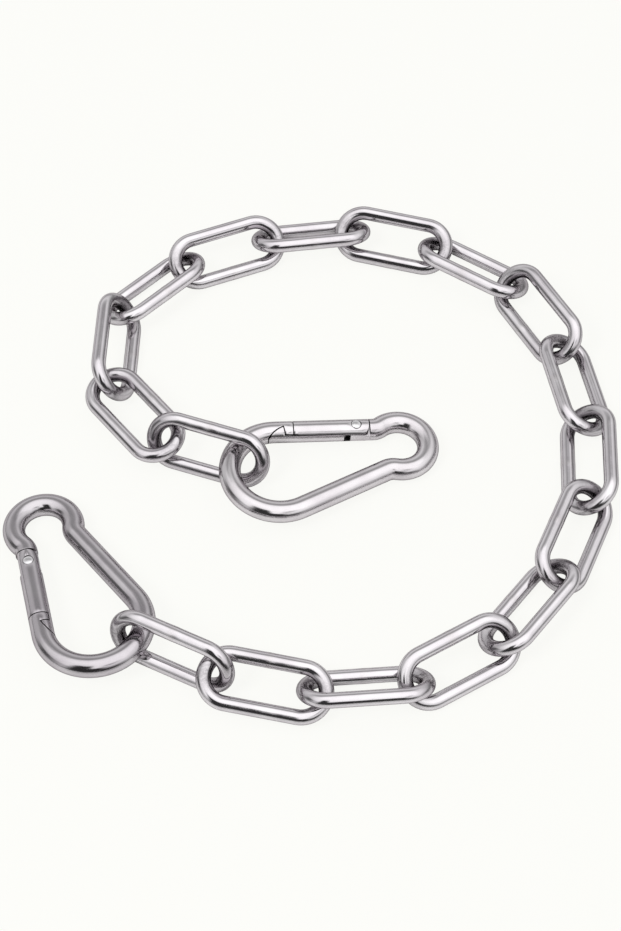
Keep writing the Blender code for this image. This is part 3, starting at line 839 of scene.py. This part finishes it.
# %% Lay the floor
FLOOR_SIZE = 6.0               # metres
PAPER = (0.955, 0.955, 0.925, 1.0)
SATIN = (0.72, 0.72, 0.71, 1.0)
SHADE = 0.05                   # share of the light that the paper takes from the room, in plain view

floor_edit = bmesh.new()
bmesh.ops.create_grid(floor_edit, x_segments=2, y_segments=2, size=FLOOR_SIZE / 2.0)
floor = to_object("floor", floor_edit)
paper, tree = new_material("white_paper")
out = add(tree, "ShaderNodeOutputMaterial")
glow = add(tree, "ShaderNodeEmission", Color=PAPER, Strength=1.0 - SHADE)
lit = add(tree, "ShaderNodeBsdfDiffuse", Color=tuple(SHADE * v for v in PAPER[:3]) + (1.0,))
plain = add(tree, "ShaderNodeAddShader")
wire(tree, glow, "Emission", plain, 0)
wire(tree, lit, "BSDF", plain, 1)
# The steel mirrors a satin sheet: shaded close to the bars, and dark where it mirrors the room.
shaded = add(tree, "ShaderNodeBsdfPrincipled", Roughness=0.12, IOR=1.6)
shaded.inputs["Base Color"].default_value = SATIN
ray = add(tree, "ShaderNodeLightPath")
choice = add(tree, "ShaderNodeMixShader")
wire(tree, ray, "Is Camera Ray", choice, 0)
wire(tree, shaded, "BSDF", choice, 1)
wire(tree, plain, "Shader", choice, 2)
wire(tree, choice, "Shader", out, "Surface")
floor.data.materials.append(paper)
print("floor %.0f m wide" % FLOOR_SIZE)

# %% Start the room
FULL = 2.0                     # the brightest that a wall may be, with white paper at about 1

room = bpy.data.worlds.new("studio")
bpy.context.scene.world = room
room.use_nodes = True
tree = room.node_tree
tree.nodes.clear()
out = add(tree, "ShaderNodeOutputWorld")
light = add(tree, "ShaderNodeBackground", Strength=FULL)
wire(tree, light, "Background", out, "Surface")
direction = add(tree, "ShaderNodeTexCoord")
parts = add(tree, "ShaderNodeSeparateXYZ")
wire(tree, direction, "Generated", parts, "Vector")
turned_by = add(tree, "ShaderNodeMath", operation="ARCTAN2")
wire(tree, parts, "X", turned_by, 0)
wire(tree, parts, "Y", turned_by, 1)


def wall(stops):
    """A wall by its height: pairs of degrees above the horizon and brightness up to FULL."""
    node = add(tree, "ShaderNodeValToRGB")
    wire(tree, parts, "Z", node, "Fac")
    while len(node.color_ramp.elements) < len(stops):
        node.color_ramp.elements.new(0.5)      # anywhere: its place is set below
    for element, (degrees, value) in zip(node.color_ramp.elements, stops):
        element.position = math.sin(math.radians(degrees))
        element.color = (value / FULL,) * 3 + (1.0,)
    return node.outputs["Color"]


# %% Paint the walls
CEILING = (90, 1.68)
BACK = ((0, 0.30), (7, 0.78), (25, 0.98), (34, 0.68), (50, 0.42), (58, 0.82), (65, 1.45), CEILING)
BACK_RIGHT = ((0, 0.22), (10, 0.36), (22, 0.72), (40, 1.12), (52, 1.05), (60, 1.55), CEILING)
RIGHT = ((0, 0.26), (14, 0.36), (19, 0.82), (34, 1.22), (48, 1.32), (54, 1.62), CEILING)
FRONT_RIGHT = ((0, 0.24), (7, 0.72), (13, 0.72), (21, 1.12), (38, 1.38), (46, 1.65), CEILING)
CAMERA_RIGHT = ((0, 0.08), (16, 0.08), (22, 0.85), (36, 1.32), (43, 0.65), (49, 0.70), (54, 1.62),
                CEILING)
CAMERA = ((0, 0.05), (29, 0.04), (33, 0.30), (37, 1.40), (46, 1.52), (60, 1.62), CEILING)
CAMERA_LEFT = ((0, 0.05), (54, 0.04), (58, 0.60), (62, 1.30), CEILING)
FRONT_LEFT = ((0, 0.22), (7, 0.74), (24, 0.80), (34, 1.30), (60, 1.46), (75, 1.54), CEILING)
LEFT = ((0, 0.20), (6, 0.14), (25, 0.14), (29, 0.78), (44, 1.25), (62, 1.46), CEILING)
BACK_LEFT = ((0, 0.24), (7, 0.76), (36, 0.78), (50, 1.15), (68, 1.50), CEILING)

# Degrees clockwise from straight ahead; each wall blends into the next, and the last is the first again.
AROUND = ((-180, CAMERA), (-169, CAMERA_LEFT), (-148, CAMERA_LEFT), (-132, FRONT_LEFT), (-98, LEFT),
          (-64, BACK_LEFT), (-30, BACK), (12, BACK), (48, BACK_RIGHT), (88, RIGHT), (122, FRONT_RIGHT),
          (152, CAMERA_RIGHT), (172, CAMERA), (180, CAMERA))
walls = wall(CAMERA)
for (low, _), (high, following) in zip(AROUND, AROUND[1:]):
    share = remap(tree, turned_by, "Value", math.radians(low), math.radians(high), 0.0, 1.0)
    share.interpolation_type = "SMOOTHSTEP"
    walls = blend_colours(tree, share, "Result", walls, wall(following))
# Seen past the floor's edge, the room is as pale as the paper.
ray = add(tree, "ShaderNodeLightPath")
walls = blend_colours(tree, ray, "Is Camera Ray", walls, tuple(v / FULL for v in PAPER[:3]) + (1.0,))
tree.links.new(walls, light.inputs["Color"])
print("room painted from", len(AROUND), "places around")

# %% Hang a softbox to the front left
KEY_FROM = Vector((-0.75, -0.60, 1.25))
SOFTBOX_SIZE = 0.5             # metres
SOFTBOX_POWER = 14.0           # watts

box_light = bpy.data.lights.new("softbox", "AREA")
box_light.shape = "SQUARE"
box_light.size = SOFTBOX_SIZE
box_light.energy = SOFTBOX_POWER
softbox = bpy.data.objects.new("softbox", box_light)
softbox.location = KEY_FROM
softbox.rotation_euler = KEY_FROM.to_track_quat("Z", "Y").to_euler()
softbox.visible_glossy = False           # in the steel, the painted room stands in for it
bpy.context.scene.collection.objects.link(softbox)
bpy.context.scene.view_settings.view_transform = "Standard"
print("softbox %.1f m above the floor" % softbox.location.z)

# %% [markdown]
# Sizes and the end
#
# The dressed model keeps to the solids' own box to within about 0.2 mm.

# %% Finish
bpy.context.view_layer.update()
